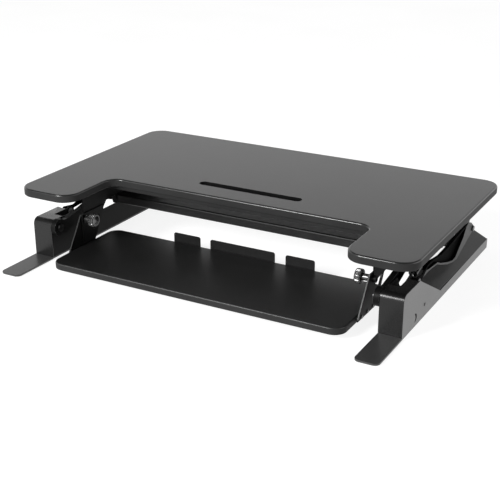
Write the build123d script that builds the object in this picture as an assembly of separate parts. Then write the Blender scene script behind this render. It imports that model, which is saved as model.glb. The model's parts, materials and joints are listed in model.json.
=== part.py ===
from build123d import *
import os

# Height-adjustable desk converter in its lowered position. Millimetres, +Z up.
# The origin is the middle of the footprint on the desk, the user sits on the -Y side.
# Side parts are built for the right side (+X) and mirrored for the left.
# Their outlines are (distance behind the worksurface's front edge, height) points.

# Worksurface board
TOP_WIDTH = 920
TOP_DEPTH = 550
TOP_THICKNESS = 18
TOP_HEIGHT = 165
TOP_UNDERSIDE = TOP_HEIGHT - TOP_THICKNESS
CORNER_RADIUS = 40
NOTCH_HALF_WIDTH = 316
NOTCH_DEPTH = 155
NOTCH_CORNER_RADIUS = 30
GROOVE_LENGTH = 250
GROOVE_WIDTH = 22
GROOVE_DEPTH = 7
GROOVE_BACK = 223

# Footprint
BASE_LENGTH = 656
TOE_LENGTH = 98
FRONT = -BASE_LENGTH / 2 + TOE_LENGTH
BASE_END = 558
PAD_THICKNESS = 2
FOOT_THICKNESS = 4
FOOT_TOP = PAD_THICKNESS + FOOT_THICKNESS
FOOT_INNER = 388
FOOT_OUTER = 438
HOUSING_FRONT = 21
HOUSING_OUTER = 437
HOUSING_TOP = 91
COVER = 2
HOUSING_BEND = 14

# Pivots
ARM_LOWER = (37, 74)
LINK_LOWER = (120, 80)
ARM_UPPER = (384, 70)
LINK_UPPER = (467, 76)
STRUT_LOWER = (62, 56)
STRUT_UPPER = (333, 119)
PIN_RADIUS = 5
STRUT_PIN_RADIUS = 3.5
RUNNING_GAP = 0.05

# Sheet metal
SHEET = 2
ARM_INNER = 376
ARM_OUTER = 387.6
LINK_WEB = 424
LINK_PAN = 417
RAIL_FRONT = 136
FRAME_INNER = 389
FRAME_SHEET = 2.5
FRAME_OUTER = 413
EAR_INNER = 368
LINK_EAR = 410

# Gas struts
STRUT_CENTRE = 402
TUBE_RADIUS = 9
ROD_RADIUS = 4
EYE_HALF_WIDTH = 6

# Keyboard tray
TRAY_WIDTH = 684
TRAY_FRONT = -45
TRAY_BACK = 188
TRAY_TOP = 28
TRAY_THICKNESS = 15
TRAY_CORNER = 27
TAB_HEIGHT = 21
HANGER = 344
KNOB_AXIS = (85, 85)
KNOB_RADIUS = 15
KNOB_LENGTH = 14
KNOB_INNER = 313


def outline(points, radius=0.0):
    """Flat YZ outline, with every corner rounded if a radius is given."""
    corners = [(FRONT + back, height) for back, height in points]
    if radius:
        return make_face(FilletPolyline(*corners, radius=radius, close=True))
    return make_face(Polyline(*corners, close=True))


def plate(face, x_from, x_to):
    """Solid between two X positions with a YZ outline."""
    return extrude(Plane.YZ.offset(x_from) * face, x_to - x_from)


def disc(centre, radius):
    """Round YZ outline."""
    return Pos(FRONT + centre[0], centre[1]) * Circle(radius)


def pin(centre, radius, x_from, x_to):
    """Cylinder along X."""
    return plate(disc(centre, radius), x_from, x_to)


def block(x_from, x_to, back_from, back_to, z_from, z_to):
    """Box given by its limits."""
    corner = Pos(x_from, FRONT + back_from, z_from)
    size = (x_to - x_from, back_to - back_from, z_to - z_from)
    return corner * Box(*size, align=(Align.MIN, Align.MIN, Align.MIN))


def post(x, back, radius, z_from, z_to):
    """Vertical cylinder."""
    align = (Align.CENTER, Align.CENTER, Align.MIN)
    return Pos(x, FRONT + back, z_from) * Cylinder(radius, z_to - z_from, align=align)


def mirrored(shape):
    """The same piece on the other side."""
    return mirror(shape, about=Plane.YZ)


def both(shape):
    """A piece and its mirror image as one group."""
    return shape + mirrored(shape)


def save(shape, name):
    """Writes one node."""
    export_step(shape, f"parts/{name}.step")


def save_pair(shape, name):
    """Writes the right piece and its mirrored left one."""
    save(shape, f"right_{name}")
    save(mirrored(shape), f"left_{name}")


# ---- Base -------------------------------------------------------------------

def foot_plate():
    """Steel bar: a rounded toe in front, narrower under the housing."""
    width = FOOT_OUTER - FOOT_INNER
    toe = block(FOOT_INNER, FOOT_OUTER, -TOE_LENGTH, HOUSING_FRONT - 0.5, PAD_THICKNESS, FOOT_TOP)
    front_corners = toe.edges().filter_by(Axis.Z).group_by(Axis.Y)[0]
    toe = fillet(front_corners, width * 0.24)
    rail = block(FOOT_INNER + 1, FOOT_OUTER - 4, HOUSING_FRONT - 0.5, BASE_END - 3, PAD_THICKNESS, FOOT_TOP)
    return toe + rail


def foot_pads():
    """Rubber pads under the foot plates."""
    pads = []
    for back_from, back_to in ((-90, -40), (60, 110), (290, 340), (495, 545)):
        pad = block(FOOT_INNER + 6, FOOT_OUTER - 8, back_from, back_to, 0, PAD_THICKNESS)
        pads.append(fillet(pad.edges().filter_by(Axis.Z), 6))
    return both(Part() + pads)


def housing_side():
    """Outer side panel: tall in front, sloping down to the low rail, with a crescent slot."""
    slope = [(106, HOUSING_TOP), (235, 20), (BASE_END, 23)]
    face = outline([(HOUSING_FRONT, 0.8), (HOUSING_FRONT, HOUSING_TOP)] + slope + [(BASE_END, 0.8)])
    panel = plate(face, HOUSING_OUTER - COVER, HOUSING_OUTER)
    top_front = panel.edges().filter_by(Axis.X).filter_by_position(Axis.Z, 90, 92).sort_by(Axis.Y)[0]
    panel = fillet(top_front, HOUSING_BEND)
    crescent = disc((88.5, 19.5), 9) - disc((81, 19.5), 10.5)
    return panel - plate(crescent, HOUSING_OUTER - COVER, HOUSING_OUTER)


def housing_front_and_top():
    """Front face bent over into the top strip, open above the strut."""
    inside = HOUSING_FRONT + COVER
    ceiling = HOUSING_TOP - COVER
    shell_points = [(HOUSING_FRONT, FOOT_TOP), (HOUSING_FRONT, HOUSING_TOP)]
    shell_points += [(104, HOUSING_TOP), (104, FOOT_TOP)]
    outer = plate(outline(shell_points), FOOT_INNER, HOUSING_OUTER - COVER)
    outer_bend = outer.edges().filter_by(Axis.X).filter_by_position(Axis.Z, 90, 92).sort_by(Axis.Y)[0]
    outer = fillet(outer_bend, HOUSING_BEND)
    inside_points = [(inside, 0), (inside, ceiling), (110, ceiling), (110, 0)]
    inner = plate(outline(inside_points), FOOT_INNER - 1, HOUSING_OUTER)
    inner_bend = inner.edges().filter_by(Axis.X).filter_by_position(Axis.Z, 88, 90).sort_by(Axis.Y)[0]
    inner = fillet(inner_bend, HOUSING_BEND - COVER)
    strut_opening = block(FOOT_INNER - 1, 412, 62, 111, 80, 100)
    return outer - inner - strut_opening


def rail_cover():
    """Low cover behind the housing, sloping up inwards to the frame plate."""
    ridge = 22 + (HOUSING_OUTER - FRAME_INNER - FRAME_SHEET) / 2
    low = 22
    inner_x = FRAME_INNER + FRAME_SHEET
    edge_x = HOUSING_OUTER - COVER
    section = [(inner_x, ridge), (edge_x, low + 1), (edge_x, low - 1.2), (inner_x, ridge - 2.2)]
    place = Plane.XZ.offset(-(FRONT + RAIL_FRONT))
    return extrude(place * make_face(Polyline(*section, close=True)), -(BASE_END - RAIL_FRONT))


def rail_end():
    """Plate closing the rear end of the rail."""
    inner_x = FRAME_INNER + FRAME_SHEET
    ridge = 22 + (HOUSING_OUTER - inner_x) / 2
    edge_x = HOUSING_OUTER - COVER
    section = [(inner_x, FOOT_TOP), (inner_x, ridge - 2.2), (edge_x, 20.8), (edge_x, FOOT_TOP)]
    place = Plane.XZ.offset(-(FRONT + BASE_END - COVER))
    return extrude(place * make_face(Polyline(*section, close=True)), -COVER)


def housing():
    """Formed sheet cover of one side of the base."""
    return housing_side() + housing_front_and_top() + rail_cover() + rail_end()


def side_frame():
    """Folded steel frame in the housing that carries the pivots."""
    inner_points = [(25, FOOT_TOP), (25, 82), (33, 88.5), (105, 88.5), (117, 68), (129, 60.5), (152, 56)]
    inner_points += [(200, 60), (262, 60), (320, 45), (BASE_END - 3.2, 45), (BASE_END - 3.2, FOOT_TOP)]
    inner = plate(outline(inner_points), FRAME_INNER, FRAME_INNER + FRAME_SHEET)
    outer_points = [(25, FOOT_TOP), (25, 82), (33, 88.5), (110, 88.5), (120, 92), (134, 84), (134, FOOT_TOP)]
    outer = plate(outline(outer_points), FRAME_OUTER, FRAME_OUTER + FRAME_SHEET)
    floor = block(FRAME_INNER, FRAME_OUTER + FRAME_SHEET, 25, 134, FOOT_TOP, FOOT_TOP + FRAME_SHEET)
    frame = inner + outer + floor
    frame -= pin(ARM_LOWER, PIN_RADIUS, FRAME_INNER, FRAME_INNER + FRAME_SHEET)
    frame -= pin(STRUT_LOWER, STRUT_PIN_RADIUS, FRAME_INNER, FRAME_OUTER + FRAME_SHEET)
    return frame - pin(LINK_LOWER, PIN_RADIUS, FRAME_OUTER, FRAME_OUTER + FRAME_SHEET)


def rear_tie():
    """Flat bar joining the two side frames behind the user."""
    bar = block(-FRAME_INNER, FRAME_INNER, 500, 540, 8, 11)
    lip = block(-FRAME_INNER, FRAME_INNER, 537, 540, 11, 24)
    return bar + lip


def lower_arm_bolts():
    """Shouldered bolts on which the main arms turn."""
    head = pin(ARM_LOWER, 8.5, ARM_INNER - 4.2, ARM_INNER - 0.3)
    shank = pin(ARM_LOWER, PIN_RADIUS, ARM_INNER - 0.3, FRAME_INNER + FRAME_SHEET)
    nut = pin(ARM_LOWER, 8, FRAME_INNER + FRAME_SHEET, FRAME_INNER + FRAME_SHEET + 4)
    return both(head + shank + nut)


def lower_link_bolts():
    """Shouldered bolts on which the outer links turn."""
    nut = pin(LINK_LOWER, 8, FRAME_OUTER - 1.4, FRAME_OUTER)
    shank = pin(LINK_LOWER, PIN_RADIUS, FRAME_OUTER, LINK_WEB + SHEET + 0.3)
    head = pin(LINK_LOWER, 8.5, LINK_WEB + SHEET + 0.3, LINK_WEB + SHEET + 4)
    return both(nut + shank + head)


def strut_anchor_pins():
    """Pins in the side frames that hold the struts' rod ends."""
    shank = pin(STRUT_LOWER, STRUT_PIN_RADIUS, FRAME_INNER, FRAME_OUTER + FRAME_SHEET)
    return both(shank + pin(STRUT_LOWER, 6, FRAME_OUTER + FRAME_SHEET, FRAME_OUTER + FRAME_SHEET + 2))


def frame_screws():
    """Low screws that hold the side frames down on the foot plates."""
    heads = [post(402, back, 5, FOOT_TOP + FRAME_SHEET, FOOT_TOP + FRAME_SHEET + 2.5) for back in (100, 122)]
    return both(Part() + heads)


def cover_screws():
    """Low screw heads that hold the housings' side panels."""
    return both(pin((142, 27), 3.5, HOUSING_OUTER, HOUSING_OUTER + 1))


# ---- Lift arms --------------------------------------------------------------

def arm_face(inset):
    """Long cranked arm with round ends, and a lug below it for the crossbeam."""
    top_edge = [(22, 88), (50, 88), (63, 87), (113, 95), (154, 105), (250, 124), (345, 134), (399, 90)]
    lug = [(398, 53), (292, 62), (250, 64), (244, 88)]
    bottom_edge = [(207, 86), (154, 79), (120, 68), (75, 62), (60, 55), (22, 60)]
    band = outline(top_edge + lug + bottom_edge, 6)
    if inset:
        band = offset(band, -inset)
    return band + disc(ARM_LOWER, 19 - inset) + disc(ARM_UPPER, 18 - inset)


def main_arm():
    """Pressed channel arm with turned bosses at its pivots."""
    body = plate(arm_face(0), ARM_INNER, ARM_OUTER)
    arm = body - plate(arm_face(SHEET), ARM_INNER + SHEET, ARM_OUTER + 1)
    for pivot in (ARM_LOWER, ARM_UPPER):
        arm += pin(pivot, 9, ARM_INNER + SHEET, ARM_OUTER)
        arm -= pin(pivot, PIN_RADIUS + RUNNING_GAP, ARM_INNER - 1, ARM_OUTER + 1)
    arm += pin(STRUT_UPPER, 8, ARM_INNER + SHEET, ARM_OUTER)
    return arm - pin(STRUT_UPPER, STRUT_PIN_RADIUS, ARM_INNER, ARM_OUTER)


def crossbeam():
    """Square tube that makes the two main arms lift together."""
    beam = block(-ARM_INNER, ARM_INNER, 250, 288, 66, 88)
    beam = fillet(beam.edges().filter_by(Axis.X), 4)
    return beam - block(-ARM_INNER, ARM_INNER, 252.5, 285.5, 68.5, 85.5)


def strut_studs():
    """Studs on the main arms that carry the struts' upper ends."""
    shank = pin(STRUT_UPPER, STRUT_PIN_RADIUS, ARM_INNER, STRUT_CENTRE + EYE_HALF_WIDTH + 0.3)
    clip_from = STRUT_CENTRE + EYE_HALF_WIDTH + 0.3
    return both(shank + pin(STRUT_UPPER, 6, clip_from, clip_from + 1.5))


def outer_link():
    """Sheet link with a flat border round a pan pressed towards the arm."""
    top_edge = [(108, 92), (146, 86), (180, 95.5), (209, 95), (234, 91), (259, 87.5), (300, 88.5), (436, 100)]
    rear_end = [(456, 93), (475, 80), (476, 70), (462, 68)]
    belly = [(429, 59), (397, 49), (366, 39), (338, 42), (304, 50), (257, 66), (237, 75), (183, 80), (150, 78)]
    face = outline(top_edge + rear_end + belly + [(108, 68)], 6)
    pan_top = [(162, 86), (180, 93), (209, 92.5), (234, 88.5), (259, 85), (300, 86), (427, 97)]
    pan_belly = [(405, 75), (381, 60), (358, 46), (338, 44.5), (304, 53), (257, 68), (237, 77), (183, 82)]
    pan = outline(pan_top + pan_belly, 3)
    link = plate(face, LINK_WEB, LINK_WEB + SHEET) + plate(pan, LINK_PAN, LINK_WEB)
    link -= plate(offset(pan, -SHEET), LINK_PAN + SHEET, LINK_WEB + SHEET + 1)
    for pivot, x_from in ((LINK_LOWER, FRAME_OUTER + FRAME_SHEET + 0.3), (LINK_UPPER, LINK_EAR + 3.3)):
        link += pin(pivot, 8.5, x_from, LINK_WEB)
        link -= pin(pivot, PIN_RADIUS + RUNNING_GAP, x_from - 1, LINK_WEB + SHEET + 1)
    return link


# ---- Gas struts -------------------------------------------------------------

def strut_frame():
    """Plane at the strut's upper end whose Z runs down the strut."""
    start = Vector(STRUT_CENTRE, FRONT + STRUT_UPPER[0], STRUT_UPPER[1])
    end = Vector(STRUT_CENTRE, FRONT + STRUT_LOWER[0], STRUT_LOWER[1])
    return Plane(origin=start, x_dir=(1, 0, 0), z_dir=end - start), (end - start).length


def along(place, radius, start, end):
    """Cylinder down the strut between two distances from its upper end."""
    return extrude(place.offset(start) * Circle(radius), end - start)


def strut_tube():
    """Pressure tube with its eye, hollow for the piston, with a rod guide."""
    place, length = strut_frame()
    eye = pin(STRUT_UPPER, 9, STRUT_CENTRE - EYE_HALF_WIDTH, STRUT_CENTRE + EYE_HALF_WIDTH)
    neck = along(place, 5, 5, 16)
    body = along(place, TUBE_RADIUS, 16, 178)
    tube = eye + neck + body
    tube -= along(place, TUBE_RADIUS - 1.5, 24, 170)
    tube -= along(place, ROD_RADIUS + RUNNING_GAP, 165, 180)
    return tube - pin(STRUT_UPPER, STRUT_PIN_RADIUS + RUNNING_GAP, STRUT_CENTRE - 10, STRUT_CENTRE + 10)


def strut_rod():
    """Rod with its piston in the tube and a loose eye on the base pin."""
    place, length = strut_frame()
    rod = along(place, ROD_RADIUS, 120, length - 8)
    piston = along(place, TUBE_RADIUS - 1.5 - RUNNING_GAP, 112, 120)
    eye = pin(STRUT_LOWER, 11, STRUT_CENTRE - EYE_HALF_WIDTH, STRUT_CENTRE + EYE_HALF_WIDTH)
    return rod + piston + eye - pin(STRUT_LOWER, 7.3, STRUT_CENTRE - 10, STRUT_CENTRE + 10)


# ---- Worksurface and what hangs from it --------------------------------------

def worksurface():
    """Board with a notch for the keyboard and a groove for a tablet."""
    slab_face = Pos(0, FRONT + TOP_DEPTH / 2) * RectangleRounded(TOP_WIDTH, TOP_DEPTH, CORNER_RADIUS)
    notch_face = Pos(0, FRONT) * RectangleRounded(2 * NOTCH_HALF_WIDTH, 2 * NOTCH_DEPTH, NOTCH_CORNER_RADIUS)
    board = extrude(Pos(0, 0, TOP_UNDERSIDE) * (slab_face - notch_face), TOP_THICKNESS)
    upright = board.edges().filter_by(Axis.Z)
    wing_tips = upright.filter_by_position(Axis.Y, FRONT - 1, FRONT + 1)
    wing_tips = wing_tips.filter_by_position(Axis.X, -NOTCH_HALF_WIDTH - 1, NOTCH_HALF_WIDTH + 1)
    board = fillet(wing_tips, CORNER_RADIUS)
    board = fillet(board.faces().sort_by(Axis.Z)[-1].edges(), 4)
    board = fillet(board.faces().sort_by(Axis.Z)[0].edges(), 2.5)
    groove_face = Pos(0, FRONT + GROOVE_BACK, TOP_HEIGHT) * SlotOverall(GROOVE_LENGTH, GROOVE_WIDTH)
    return board - extrude(groove_face, -GROOVE_DEPTH)


def carriage_rail():
    """Steel strap under the board with ears down to the upper pivots."""
    strap = block(EAR_INNER, LINK_EAR + 3, 350, 500, TOP_UNDERSIDE - 3, TOP_UNDERSIDE)
    high = TOP_UNDERSIDE
    arm_ear_face = outline([(362, high), (364, 70), (368, 54), (400, 54), (404, 70), (420, high)])
    link_ear_face = outline([(440, high), (450, 76), (454, 60), (480, 60), (484, 76), (498, high)])
    rail = strap + plate(arm_ear_face, EAR_INNER, EAR_INNER + 3)
    rail += plate(link_ear_face, LINK_EAR, LINK_EAR + 3)
    rail -= pin(ARM_UPPER, PIN_RADIUS, EAR_INNER, EAR_INNER + 3)
    return rail - pin(LINK_UPPER, PIN_RADIUS, LINK_EAR, LINK_EAR + 3)


def upper_arm_bolts():
    """Shouldered bolts joining the main arms to the carriage rails."""
    head = pin(ARM_UPPER, 8.5, EAR_INNER - 4, EAR_INNER)
    shank = pin(ARM_UPPER, PIN_RADIUS, EAR_INNER, ARM_OUTER + 0.4)
    nut = pin(ARM_UPPER, 8, ARM_OUTER + 0.4, ARM_OUTER + 4.4)
    return both(head + shank + nut)


def upper_link_bolts():
    """Shouldered bolts joining the outer links to the carriage rails."""
    head = pin(LINK_UPPER, 8.5, LINK_EAR - 4, LINK_EAR)
    shank = pin(LINK_UPPER, PIN_RADIUS, LINK_EAR, LINK_WEB + SHEET + 0.4)
    outer_head = pin(LINK_UPPER, 6.2, LINK_WEB + SHEET + 0.4, LINK_WEB + SHEET + 3)
    return both(head + shank + outer_head)


def notch_stiffener():
    """Folded steel strip behind the notch that keeps the board flat."""
    flange = block(-340, 340, 158, 182, TOP_UNDERSIDE - 2, TOP_UNDERSIDE)
    web = block(-340, 340, 158, 160, TOP_UNDERSIDE - 8, TOP_UNDERSIDE - 2)
    return flange + web


def tray_mount():
    """Bracket under the wing that takes the tray hanger."""
    face = outline([(84, TOP_UNDERSIDE), (88, 76), (150, 80), (173, 105), (178, TOP_UNDERSIDE)])
    web = plate(face, HANGER + 3, HANGER + 5.5)
    flange = block(HANGER + 5.5, 364, 84, 178, TOP_UNDERSIDE - 2.5, TOP_UNDERSIDE)
    boss = pin(KNOB_AXIS, 7, HANGER + 5.5, HANGER + 12)
    mount = web + flange + boss
    return mount - pin(KNOB_AXIS, 3 + RUNNING_GAP, HANGER + 2, HANGER + 13)


def tray_hanger():
    """Leaning sheet hanger with a window, screwed to the tray's side edge."""
    face = outline([(21, 17.5), (26, 26), (72, 97), (158, 97), (150, 80), (115, 17.5)])
    window = outline([(103, 80), (139, 80), (124, 55), (103, 66)])
    sheet = plate(face, HANGER, HANGER + 3) - plate(window, HANGER - 1, HANGER + 4)
    stiffener = block(HANGER - 2.5, HANGER, 73, 76, 30, 97)
    return sheet + stiffener - pin(KNOB_AXIS, 3 + RUNNING_GAP, HANGER - 4, HANGER + 4)


def tray():
    """Rounded keyboard tray board."""
    depth = TRAY_BACK - TRAY_FRONT
    centre = FRONT + (TRAY_FRONT + TRAY_BACK) / 2
    bottom = TRAY_TOP - TRAY_THICKNESS
    board = extrude(Pos(0, centre, bottom) * RectangleRounded(TRAY_WIDTH, depth, TRAY_CORNER), TRAY_THICKNESS)
    board = fillet(board.faces().sort_by(Axis.Z)[-1].edges(), 3)
    return fillet(board.faces().sort_by(Axis.Z)[0].edges(), 2)


def stop_tab(half_width, centre_x):
    """Upright tab on the tray's rear edge, with rounded upper corners."""
    left, right = centre_x - half_width, centre_x + half_width
    tab = block(left, right, TRAY_BACK, TRAY_BACK + 2.5, 16, TRAY_TOP + TAB_HEIGHT)
    upper = tab.edges().filter_by(Axis.Y).group_by(Axis.Z)[-1]
    return fillet(upper, 5)


def tray_spacers():
    """Strips between the hangers and the tray's side edges."""
    return both(block(TRAY_WIDTH / 2, HANGER, 30, 106, 17.5, 24.5))


def tray_screws():
    """Heads of the screws through the hangers into the tray's side edges."""
    heads = [pin((back, 22), 3.4, HANGER + 3, HANGER + 4.6) for back in (40, 68, 96)]
    return both(Part() + heads)


def board_screws():
    """Screw heads below the straps and brackets under the worksurface."""
    heads = [post(392, back, 5, TOP_UNDERSIDE - 5.5, TOP_UNDERSIDE - 3) for back in (356, 425, 488)]
    heads += [post(358, back, 4, TOP_UNDERSIDE - 4.8, TOP_UNDERSIDE - 2.5) for back in (105, 160)]
    heads += [post(x, 171, 4, TOP_UNDERSIDE - 4.3, TOP_UNDERSIDE - 2) for x in (60, 180, 300)]
    return both(Part() + heads)


def knob():
    """Ribbed thumb knob that locks the tray hanger."""
    body = pin(KNOB_AXIS, KNOB_RADIUS, KNOB_INNER, KNOB_INNER + KNOB_LENGTH)
    body = fillet(body.edges().filter_by(GeomType.CIRCLE), 1.5)
    centre = Plane.YZ.offset(KNOB_INNER - 1) * Pos(FRONT + KNOB_AXIS[0], KNOB_AXIS[1])
    for spot in PolarLocations(KNOB_RADIUS + 0.6, 24):
        body -= extrude(centre * spot * Circle(1.4), KNOB_LENGTH + 2)
    collar = pin(KNOB_AXIS, 7, KNOB_INNER + KNOB_LENGTH, HANGER - 3)
    return body + collar - pin(KNOB_AXIS, 3, KNOB_INNER + 6, HANGER)


def knob_screw():
    """Steel screw fixed in the thumb knob, with a pressure washer."""
    shank = pin(KNOB_AXIS, 3, KNOB_INNER + 6, HANGER + 11)
    return shank + (pin(KNOB_AXIS, 8, HANGER - 3, HANGER - 0.3) - pin(KNOB_AXIS, 3, HANGER - 3, HANGER))


def lever_bracket():
    """Small cheek bracket that carries the release lever under the wing."""
    base = block(394, 426, 118, 140, TOP_UNDERSIDE - 2, TOP_UNDERSIDE)
    cheek = block(394, 396, 122, 136, 130, TOP_UNDERSIDE - 2)
    bracket = base + cheek + block(424, 426, 122, 136, 130, TOP_UNDERSIDE - 2)
    return bracket - pin((129, 136), 2.5, 394, 426)


def lever_pins():
    """Pins of the release levers."""
    return both(pin((129, 136), 2.5, 394, 426))


def release_lever():
    """Finger paddle pulled up against the wing to free the lift."""
    paddle = block(398, 422, 46, 122, 129, 132)
    paddle = fillet(paddle.edges().filter_by(Axis.Z).group_by(Axis.Y)[0], 8)
    barrel = pin((129, 136), 5.5, 396.4, 423.6)
    web = block(398, 422, 118, 128, 129, 134)
    return paddle + web + barrel - pin((129, 136), 2.5 + RUNNING_GAP, 390, 430)


def build_base():
    """Everything that stays on the desk."""
    save_pair(foot_plate(), "foot_plate")
    save(foot_pads(), "foot_pads")
    save_pair(housing(), "housing")
    save_pair(side_frame(), "side_frame")
    save(rear_tie(), "rear_tie_bar")
    save(lower_arm_bolts(), "lower_arm_bolts")
    save(lower_link_bolts(), "lower_link_bolts")
    save(strut_anchor_pins(), "strut_anchor_pins")
    save(frame_screws(), "frame_screws")
    save(cover_screws(), "cover_screws")


def build_linkage():
    """Arms, links and gas struts."""
    save_pair(main_arm(), "main_arm")
    save(crossbeam(), "arm_crossbeam")
    save(strut_studs(), "strut_studs")
    save_pair(outer_link(), "outer_link")
    save_pair(strut_tube(), "strut_tube")
    save_pair(strut_rod(), "strut_rod")


def build_carriage():
    """Worksurface, tray and their hardware."""
    save(worksurface(), "worksurface")
    save_pair(carriage_rail(), "carriage_rail")
    save(upper_arm_bolts(), "upper_arm_bolts")
    save(upper_link_bolts(), "upper_link_bolts")
    save(notch_stiffener(), "notch_stiffener")
    save_pair(tray_mount(), "tray_mount")
    save_pair(tray_hanger(), "tray_hanger")
    save(tray(), "keyboard_tray")
    save(stop_tab(80.5, 0), "centre_stop_tab")
    save(both(stop_tab(34.5, 141)), "side_stop_tabs")
    save(tray_spacers(), "tray_spacers")
    save(tray_screws(), "tray_screws")
    save(board_screws(), "board_screws")
    save_pair(knob(), "tray_knob")
    save_pair(knob_screw(), "knob_screw")
    save(both(lever_bracket()), "lever_brackets")
    save(lever_pins(), "lever_pins")
    save_pair(release_lever(), "release_lever")


os.makedirs("parts", exist_ok=True)
build_base()
build_linkage()
build_carriage()
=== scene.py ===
import json
import math

import bmesh
import bpy
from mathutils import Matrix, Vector


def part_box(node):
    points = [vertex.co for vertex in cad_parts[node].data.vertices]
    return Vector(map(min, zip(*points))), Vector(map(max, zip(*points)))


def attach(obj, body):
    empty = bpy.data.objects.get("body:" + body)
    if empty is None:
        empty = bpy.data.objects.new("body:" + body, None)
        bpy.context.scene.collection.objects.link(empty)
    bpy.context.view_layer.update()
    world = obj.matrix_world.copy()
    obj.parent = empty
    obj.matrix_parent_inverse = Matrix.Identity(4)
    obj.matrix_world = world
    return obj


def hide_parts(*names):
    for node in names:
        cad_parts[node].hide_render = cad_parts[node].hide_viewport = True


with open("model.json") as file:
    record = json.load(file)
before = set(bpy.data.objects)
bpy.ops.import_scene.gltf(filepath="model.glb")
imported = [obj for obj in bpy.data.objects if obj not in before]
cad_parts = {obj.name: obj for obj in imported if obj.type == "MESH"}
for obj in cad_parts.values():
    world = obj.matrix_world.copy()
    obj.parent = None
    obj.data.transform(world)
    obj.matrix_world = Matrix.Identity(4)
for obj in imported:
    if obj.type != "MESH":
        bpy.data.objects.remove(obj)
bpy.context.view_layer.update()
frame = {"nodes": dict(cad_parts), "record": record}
NODES = frame["nodes"]
RECORD = frame["record"]
SLOT_OF = {part["node"]: part["material_slot"] for part in RECORD["subparts"]}
BODY_OF = {node: body for body, names in RECORD["behaviour"]["bodies"].items() for node in names}
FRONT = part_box("worksurface")[0][1]
SIDES = (("left", -1), ("right", 1))

# ---------------------------------------------------------------- materials

NOISE_BAND = (0.3, 0.7)  # nearly all of a noise's values lie in here
GRAIN_STRENGTH = 0.25


def add_node(tree, kind, **values):
    """New shader node, with values for its sockets or its own settings."""
    node = tree.nodes.new(kind)
    for key, value in values.items():
        if key in node.inputs:
            node.inputs[key].default_value = value
        else:
            setattr(node, key, value)
    return node


def noise(tree, scale, detail):
    coords = tree.nodes.new("ShaderNodeTexCoord")
    node = add_node(tree, "ShaderNodeTexNoise", Scale=scale, Detail=detail)
    tree.links.new(coords.outputs["Object"], node.inputs["Vector"])
    return node.outputs["Fac"]


def greys(tree, source, low, high):
    """Grey that runs from low to high over the noise's band."""
    node = tree.nodes.new("ShaderNodeValToRGB")
    for element, position, value in zip(node.color_ramp.elements, NOISE_BAND, (low, high)):
        element.position = position
        element.color = (value, value, value, 1)
    tree.links.new(source, node.inputs["Fac"])
    return node.outputs["Color"]


def mapped(tree, source, given, wanted, interpolation="LINEAR"):
    """Number moved from one range to another."""
    node = add_node(tree, "ShaderNodeMapRange", interpolation_type=interpolation)
    for word, (start, end) in (("From", given), ("To", wanted)):
        node.inputs[f"{word} Min"].default_value = start
        node.inputs[f"{word} Max"].default_value = end
    tree.links.new(source, node.inputs["Value"])
    return node.outputs["Result"]


def finish_material(name, low, high, rough, grain, depth, cloud=9.0, metallic=0.0, gloss=0.5):
    """Coat whose grey drifts slowly from low to high.

    Its fine grain has the given scale and depth, and varies the roughness over the rough range.
    """
    mat = bpy.data.materials.new(name)
    mat.use_nodes = True
    tree = mat.node_tree
    shader = tree.nodes["Principled BSDF"]
    drift = noise(tree, cloud, 4.0)
    fine = noise(tree, grain, 2.0)
    tree.links.new(greys(tree, drift, low, high), shader.inputs["Base Color"])
    tree.links.new(mapped(tree, fine, NOISE_BAND, rough), shader.inputs["Roughness"])
    bump = add_node(tree, "ShaderNodeBump", Strength=GRAIN_STRENGTH, Distance=depth)
    tree.links.new(fine, bump.inputs["Height"])
    tree.links.new(bump.outputs["Normal"], shader.inputs["Normal"])
    shader.inputs["Metallic"].default_value = metallic
    shader.inputs["Specular IOR Level"].default_value = gloss
    return mat


LAMINATE = finish_material("laminate", 0.006, 0.010, (0.34, 0.44), 1400, 0.00010, gloss=0.48)
# The edge band is one strip: its flat side (EDGE_SIDE, on board and tray) is painted a lighter,
# matt grey than the lip, as painted light.
EDGE_BAND = finish_material("edge_band", 0.006, 0.010, (0.26, 0.34), 500, 0.00003, gloss=0.5)
EDGE_SIDE = finish_material("edge_side", 0.020, 0.026, (0.38, 0.48), 700, 0.00005, gloss=0.05)
TRAY_LAMINATE = finish_material(
    "tray_laminate", 0.006, 0.009, (0.32, 0.42), 1400, 0.00010, gloss=0.37
)
TRAY_BAND = finish_material("tray_band", 0.009, 0.013, (0.42, 0.50), 500, 0.00002, gloss=0.45)
# The groove's walls and floor are painted darker and less glossy than the board around them:
# painted shade in the recess.
GROOVE_SHADE = finish_material("groove_painted_shade", 0.003, 0.005, (0.50, 0.62), 900, 0.00008, gloss=0.06)
POWDER = finish_material("powder_coat", 0.005, 0.009, (0.34, 0.46), 900, 0.00008, gloss=0.28)
# Darker copy of the powder coat for sheets that lie in shade under the board and in the base:
# painted shade.
SHADE_COAT = finish_material("painted_shade_coat", 0.003, 0.006, (0.38, 0.50), 900, 0.00008, gloss=0.07)
# Lighter copy of the black coat for the housing's low rail and the link's rear border: painted
# light.
LIT_COAT = finish_material("painted_lit_coat", 0.026, 0.035, (0.38, 0.48), 900, 0.00006, gloss=0.18)
# Lighter grey for the hangers' cut front edges: painted highlight.
EDGE_HIGHLIGHT_COAT = finish_material("edge_highlight", 0.010, 0.016, (0.34, 0.42), 900, 0.00004, gloss=0.22)
PLATE = finish_material("plate_coat", 0.026, 0.036, (0.34, 0.44), 900, 0.00008)
COVER = finish_material("cover_coat", 0.0045, 0.008, (0.22, 0.30), 900, 0.00005, gloss=0.35)
# Glossy light grey for the housing's outward side and the arms' front rims: painted highlight on
# one black coat.
HIGHLIGHT_COAT = finish_material("painted_highlight_coat", 0.060, 0.080, (0.34, 0.44), 900, 0.00006, gloss=0.8)
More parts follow.
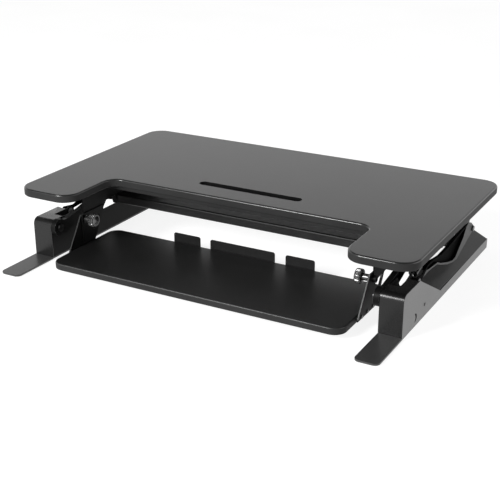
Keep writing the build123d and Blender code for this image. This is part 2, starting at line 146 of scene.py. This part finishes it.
# Near-black coat for the outer link, which lies deep under the board: painted shade.
DEEP_SHADE_COAT = finish_material("painted_deep_shade_coat", 0.0018, 0.0032, (0.50, 0.62), 700, 0.00006, gloss=0.006)
ZINC = finish_material("dark_zinc", 0.07, 0.13, (0.26, 0.38), 700, 0.00004, 60.0, 1.0)
TUBE = finish_material("tube_enamel", 0.010, 0.016, (0.22, 0.30), 300, 0.00004)
CHROME = finish_material("rod_chrome", 0.60, 0.72, (0.08, 0.16), 500, 0.00002, 40.0, 1.0)
PLASTIC = finish_material(
    "moulded_plastic", 0.006, 0.010, (0.42, 0.55), 1100, 0.00008, gloss=0.14
)
KNOB = finish_material("knob_plastic", 0.014, 0.024, (0.18, 0.26), 1000, 0.00003, gloss=1.0)
RUBBER = finish_material("pad_rubber", 0.012, 0.018, (0.70, 0.85), 600, 0.00012, gloss=0.3)
BY_SLOT = {
    "board_laminate": LAMINATE,
    "tray_laminate": TRAY_LAMINATE,
    "frame_paint": POWDER,
    "cover_paint": COVER,
    "bolt_steel": ZINC,
    "tube_paint": TUBE,
    "rod_chrome": CHROME,
    "black_plastic": PLASTIC,
    "knob_plastic": KNOB,
    "pad_rubber": RUBBER,
}

# ---------------------------------------------------------------- mesh helpers

WELD = 2e-6
FLAT_ANGLE = math.radians(1.0)
BEVEL_ANGLE = math.radians(35)


def link_new(name, bm):
    mesh = bpy.data.meshes.new(name)
    bm.to_mesh(mesh)
    bm.free()
    obj = bpy.data.objects.new(name, mesh)
    bpy.context.scene.collection.objects.link(obj)
    return obj


def apply_modifiers(obj):
    graph = bpy.context.evaluated_depsgraph_get()
    mesh = bpy.data.meshes.new_from_object(obj.evaluated_get(graph))
    old = obj.data
    obj.modifiers.clear()
    obj.data = mesh
    bpy.data.meshes.remove(old)


def finish_piece(obj, node, materials, angle=32.0):
    """Smooth shading with crisp edges, and the CAD node's place on the frame."""
    obj.data.materials.clear()
    for material in materials:
        obj.data.materials.append(material)
    obj.data.shade_smooth()
    obj.data.set_sharp_from_angle(angle=math.radians(angle))
    weighted = obj.modifiers.new("normals", "WEIGHTED_NORMAL")
    weighted.keep_sharp = True
    weighted.weight = 80
    apply_modifiers(obj)
    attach(obj, BODY_OF[node])
    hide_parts(node)
    return obj


def softened(node, width):
    """The CAD node's own form with rounded edges."""
    bm = bmesh.new()
    bm.from_mesh(NODES[node].data)
    bmesh.ops.remove_doubles(bm, verts=bm.verts, dist=WELD)
    bmesh.ops.dissolve_limit(bm, angle_limit=FLAT_ANGLE, verts=bm.verts, edges=bm.edges)
    obj = link_new(f"{node}_body", bm)
    bevel = obj.modifiers.new("edges", "BEVEL")
    bevel.width = width
    bevel.segments = 2
    bevel.limit_method = "ANGLE"
    bevel.angle_limit = BEVEL_ANGLE
    apply_modifiers(obj)
    return finish_piece(obj, node, [BY_SLOT[SLOT_OF[node]]])


def rounded(corners, steps=14):
    """Closed outline with rounded corners, as (point, outward normal) pairs, anticlockwise."""
    line = []
    count = len(corners)
    for i, (x, y, radius) in enumerate(corners):
        here = Vector((x, y))
        back = (Vector(corners[i - 1][:2]) - here).normalized()
        ahead = (Vector(corners[(i + 1) % count][:2]) - here).normalized()
        turn = (-back).cross(ahead)
        side = 1 if turn > 0 else -1
        centre = here + (back + ahead) * radius
        for k in range(steps + 1):
            angle = math.pi / 2 * k / steps
            spoke = -ahead * math.cos(angle) - back * math.sin(angle)
            line.append((centre + spoke * radius, spoke * side))
    return line


def rolled_profile(low, high, foot, lip, steps=5):
    """(inset, height) pairs up a board's edge: rounded foot, straight side, rounded lip."""
    turns = [math.pi / 2 * k / steps for k in range(steps + 1)]
    lower = [(foot * (1 - math.sin(a)), low + foot * (1 - math.cos(a))) for a in turns]
    upper = [(lip * (1 - math.cos(a)), high - lip + lip * math.sin(a)) for a in turns]
    return lower + upper


def join_rings(bm, rings):
    """Skin over rings of equal length, with a face on each end."""
    count = len(rings[0])
    for first, second in zip(rings, rings[1:]):
        for i in range(count):
            j = (i + 1) % count
            bm.faces.new((first[i], first[j], second[j], second[i]))
    bm.faces.new(list(reversed(rings[0])))
    bm.faces.new(rings[-1])


def ring_solid(name, line, profile):
    """Solid whose rings follow one outline at each inset and height of the profile."""
    bm = bmesh.new()
    rings = []
    for inset, height in profile:
        rings.append([bm.verts.new((*(point - normal * inset), height)) for point, normal in line])
    join_rings(bm, rings)
    return link_new(name, bm)


def cut(obj, cutter):
    """Takes the cutter's form out of a piece."""
    step = obj.modifiers.new("cut", "BOOLEAN")
    step.operation = "DIFFERENCE"
    step.solver = "EXACT"
    step.object = cutter
    apply_modifiers(obj)
    bpy.data.objects.remove(cutter)


# ---------------------------------------------------------------- boards

NOTCH_HALF_WIDTH = 0.316
NOTCH_DEPTH = 0.155
BOARD_CORNER = 0.040
NOTCH_CORNER = 0.030
GROOVE_HALF_LENGTH = 0.125
GROOVE_SETBACK = 0.223
GROOVE_RADIUS = 0.011
GROOVE_DEPTH = 0.007
TRAY_CORNER = 0.027
FACE_MARGIN = 0.0001
LIP_INDEX, SIDE_INDEX, GROOVE_INDEX = 1, 2, 3  # places in a board's list of materials


def edge_index(face):
    """The rolled lip is glossier than the edge band's flat side, which is painted a lighter grey
    as painted light.
    """
    return LIP_INDEX if face.normal.z > 0.2 else SIDE_INDEX


def worksurface():
    low, high = (Vector(v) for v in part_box("worksurface"))
    notch_back = low.y + NOTCH_DEPTH
    corners = [
        (NOTCH_HALF_WIDTH, low.y, BOARD_CORNER),
        (high.x, low.y, BOARD_CORNER),
        (high.x, high.y, BOARD_CORNER),
        (low.x, high.y, BOARD_CORNER),
        (low.x, low.y, BOARD_CORNER),
        (-NOTCH_HALF_WIDTH, low.y, BOARD_CORNER),
        (-NOTCH_HALF_WIDTH, notch_back, NOTCH_CORNER),
        (NOTCH_HALF_WIDTH, notch_back, NOTCH_CORNER),
    ]
    edge = rolled_profile(low.z, high.z, 0.0025, 0.004)
    board = ring_solid("worksurface_board", rounded(corners), edge)
    middle = low.y + GROOVE_SETBACK
    near, far = middle - GROOVE_RADIUS, middle + GROOVE_RADIUS
    ends = [
        (GROOVE_HALF_LENGTH, near, GROOVE_RADIUS),
        (GROOVE_HALF_LENGTH, far, GROOVE_RADIUS),
        (-GROOVE_HALF_LENGTH, far, GROOVE_RADIUS),
        (-GROOVE_HALF_LENGTH, near, GROOVE_RADIUS),
    ]
    flare = [
        (0.0, high.z - GROOVE_DEPTH),
        (0.0, high.z - 0.0008),
        (-0.0003, high.z - 0.0003),
        (-0.0012, high.z + 0.001),
    ]
    cut(board, ring_solid("groove_form", rounded(ends), flare))
    finish_piece(board, "worksurface", [LAMINATE, EDGE_BAND, EDGE_SIDE, GROOVE_SHADE])
    reach_x, reach_y = GROOVE_HALF_LENGTH + 0.002, GROOVE_RADIUS + 0.002
    for face in board.data.polygons:
        if low.z + FACE_MARGIN <= face.center.z <= high.z - FACE_MARGIN:
            # faces in the groove take its painted shade
            in_groove = abs(face.center.x) < reach_x and abs(face.center.y - middle) < reach_y
            face.material_index = GROOVE_INDEX if in_groove else edge_index(face)


def keyboard_tray():
    low, high = (Vector(v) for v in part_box("keyboard_tray"))
    corners = [
        (high.x, low.y, TRAY_CORNER),
        (high.x, high.y, TRAY_CORNER),
        (low.x, high.y, TRAY_CORNER),
        (low.x, low.y, TRAY_CORNER),
    ]
    edge = rolled_profile(low.z, high.z, 0.002, 0.003)
    board = ring_solid("keyboard_tray_board", rounded(corners), edge)
    finish_piece(board, "keyboard_tray", [TRAY_LAMINATE, TRAY_BAND, EDGE_SIDE])
    for face in board.data.polygons:
        if low.z + FACE_MARGIN < face.center.z < high.z - FACE_MARGIN:
            face.material_index = edge_index(face)


# ---------------------------------------------------------------- steel work

RAIL_START = FRONT + 0.13  # the housing's tall box ends and its low rail begins
RAIL_HEIGHT = 0.05
LIT_BORDER_START = FRONT + 0.300  # the outer link's border is painted lighter from here, a painted highlight
BORDER_HIGHLIGHT_START = FRONT + 0.375  # and painted lighter still from here to its rear eye


def outer_x(node):
    """How far out from the middle a node reaches."""
    low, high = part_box(node)
    return max(abs(low[0]), abs(high[0]))


def paint(obj, material, chosen):
    """Puts another material on the faces that the test picks."""
    obj.data.materials.append(material)
    index = len(obj.data.materials) - 1
    for face in obj.data.polygons:
        if chosen(face.center, face.normal):
            face.material_index = index


def housing(side, sign):
    """Dark cover whose low rail is painted lighter and outward side panel brighter: painted light
    and painted highlight on one black cover.
    """
    node = f"{side}_housing"
    panel_x = outer_x(node) - 0.001
    shell = softened(node, 0.0005)
    # the low rail is painted lighter and the outward side brighter still: painted light and
    # painted highlight
    paint(shell, LIT_COAT, lambda c, n: c.y > RAIL_START and c.z < RAIL_HEIGHT)
    paint(shell, HIGHLIGHT_COAT, lambda c, n: n.x * sign > 0.6 and abs(c.x) > panel_x)


def link(side):
    """Sheet painted near-black as painted shade, with its outer border painted lighter towards the
    rear as a painted highlight.
    """
    node = f"{side}_outer_link"
    border_x = outer_x(node) - 0.0006
    sheet = softened(node, 0.0004)
    # painted shade over the whole sheet, then a painted highlight on the rear border in two steps
    paint(sheet, DEEP_SHADE_COAT, lambda c, n: True)
    paint(sheet, SHADE_COAT, lambda c, n: abs(c.x) > border_x and c.y > LIT_BORDER_START)
    paint(sheet, LIT_COAT, lambda c, n: abs(c.x) > border_x and c.y > BORDER_HIGHLIGHT_START)


def dark_sheet(node, width, edge_highlight=None, on_edge=None):
    """Sheet part painted darker as painted shade, with a painted highlight on the edges that the
    test picks.
    """
    piece = softened(node, width)
    paint(piece, SHADE_COAT, lambda c, n: True)
    if edge_highlight:
        paint(piece, edge_highlight, on_edge)


def on_arm_rim(_centre, normal):
    """The rounded rim between the arm's face and its front edge, where a painted highlight goes.
    """
    return 0.2 < abs(normal.x) < 0.97 and normal.y < -0.1


def on_front_edge(_centre, normal):
    """A sheet's cut edge that faces the front, where a painted highlight goes."""
    return abs(normal.x) < 0.3 and normal.y < -0.3


def steel_work():
    for side, sign in SIDES:
        housing(side, sign)
        link(side)
        # arms, hangers, mounts, side frames and levers get the painted shade coat
        dark_sheet(f"{side}_main_arm", 0.0010, HIGHLIGHT_COAT, on_arm_rim)
        dark_sheet(f"{side}_tray_hanger", 0.0004, EDGE_HIGHLIGHT_COAT, on_front_edge)
        dark_sheet(f"{side}_tray_mount", 0.0004)
        dark_sheet(f"{side}_side_frame", 0.0004)
        paint(softened(f"{side}_foot_plate", 0.0008), PLATE, lambda c, n: True)
        dark_sheet(f"{side}_release_lever", 0.0006)
    softened("centre_stop_tab", 0.0006)
    softened("side_stop_tabs", 0.0006)
    softened("arm_crossbeam", 0.0003)


# ---------------------------------------------------------------- knobs

KNOB_SPOKES = 144
KNOB_RIBS = 24
FLUTE_DEPTH = 0.0012
RIM_SHARE = 0.9  # the flutes lie outside this share of the radius
AXIS_RADIUS = 0.00002
# share of the radius, and distance outwards from the knob's inner end
KNOB_PROFILE = [
    (0.0, 0.0018),
    (0.45, 0.0018),
    (0.62, 0.0004),
    (0.84, 0.0),
    (0.93, 0.0005),
    (0.985, 0.0020),
    (1.0, 0.0036),
    (1.0, 0.0105),
    (0.985, 0.0121),
    (0.93, 0.0135),
    (0.47, 0.0140),
    (0.47, 0.0280),
]


def knob(side, sign):
    """Thumb knob with rounded ribs and a dished face."""
    node = f"{side}_tray_knob"
    low, high = (Vector(v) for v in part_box(node))
    centre = (low + high) / 2
    radius = (high.z - low.z) / 2
    inner = min(abs(low.x), abs(high.x))
    bm = bmesh.new()
    rings = []
    for share, depth in KNOB_PROFILE:
        ring = []
        for k in range(KNOB_SPOKES):
            angle = math.tau * k / KNOB_SPOKES
            wave = max(0.0, math.cos(KNOB_RIBS * angle)) ** 1.2
            flute = FLUTE_DEPTH * wave if share > RIM_SHARE else 0.0
            reach = max(share * radius - flute, AXIS_RADIUS)
            y = centre.y + reach * math.cos(angle)
            z = centre.z + reach * math.sin(angle)
            ring.append(bm.verts.new((sign * (inner + depth), y, z)))
        rings.append(ring)
    join_rings(bm, rings)
    bmesh.ops.recalc_face_normals(bm, faces=bm.faces)
    finish_piece(link_new(f"{side}_tray_knob_body", bm), node, [KNOB], 40)


for name, node in NODES.items():
    node.data.materials.clear()
    node.data.materials.append(BY_SLOT[SLOT_OF[name]])
worksurface()
keyboard_tray()
steel_work()
for side, sign in SIDES:
    knob(side, sign)

# ---------------------------------------------------------------- studio


def build_world():
    """White studio, brightest low down and at the back, darker in front and overhead."""
    world = bpy.data.worlds.new("studio")
    world.use_nodes = True
    tree = world.node_tree
    coords = tree.nodes.new("ShaderNodeTexCoord")
    axes = tree.nodes.new("ShaderNodeSeparateXYZ")
    tree.links.new(coords.outputs["Generated"], axes.inputs["Vector"])
    height = mapped(tree, axes.outputs["Z"], (0.12, 0.58), (1.90, 0.26), "SMOOTHSTEP")
    depth = mapped(tree, axes.outputs["Y"], (-0.7, 0.5), (0.55, 1.0), "SMOOTHSTEP")
    product = add_node(tree, "ShaderNodeMath", operation="MULTIPLY")
    tree.links.new(height, product.inputs[0])
    tree.links.new(depth, product.inputs[1])
    background = tree.nodes["Background"]
    tree.links.new(product.outputs["Value"], background.inputs["Strength"])
    background.inputs["Color"].default_value = (1, 1, 1, 1)
    bpy.context.scene.world = world


def add_light(name, place, target, width, height, power):
    data = bpy.data.lights.new(name, "AREA")
    data.shape = "RECTANGLE"
    data.size = width
    data.size_y = height
    data.energy = power
    light = bpy.data.objects.new(name, data)
    light.location = place
    light.rotation_euler = (Vector(target) - Vector(place)).to_track_quat("-Z", "Y").to_euler()
    bpy.context.scene.collection.objects.link(light)


def build_studio():
    """Floor that glows enough to stay white, and a side and a front light."""
    bm = bmesh.new()
    bmesh.ops.create_grid(bm, x_segments=1, y_segments=1, size=30)
    floor = link_new("floor", bm)
    paper = finish_material("floor_paper", 0.26, 0.30, (0.9, 0.95), 40, 0.00002, 2.0, gloss=0.0)
    shader = paper.node_tree.nodes["Principled BSDF"]
    shader.inputs["Emission Color"].default_value = (1, 1, 1, 1)
    shader.inputs["Emission Strength"].default_value = 0.86
    floor.data.materials.append(paper)
    build_world()
    add_light("right", (3.4, 0.6, 0.9), (0, 0, 0.1), 2.0, 2.0, 28)
    add_light("front_softbox", (-0.93, -2.44, 1.42), (0.2, 0, 0.1), 0.7, 1.0, 110)


def build_camera():
    """Seen from the front right, 22 degrees above the horizontal."""
    data = bpy.data.cameras.new("camera")
    data.lens = 73.98
    data.sensor_width = 36
    camera = bpy.data.objects.new("camera", data)
    camera.location = (1.0191, -1.8529, 0.880)
    camera.rotation_euler = (math.radians(90 - 22.01), 0, math.radians(28.88))
    bpy.context.scene.collection.objects.link(camera)
    bpy.context.scene.camera = camera


build_studio()
build_camera()
bpy.context.scene.view_settings.view_transform = "Standard"
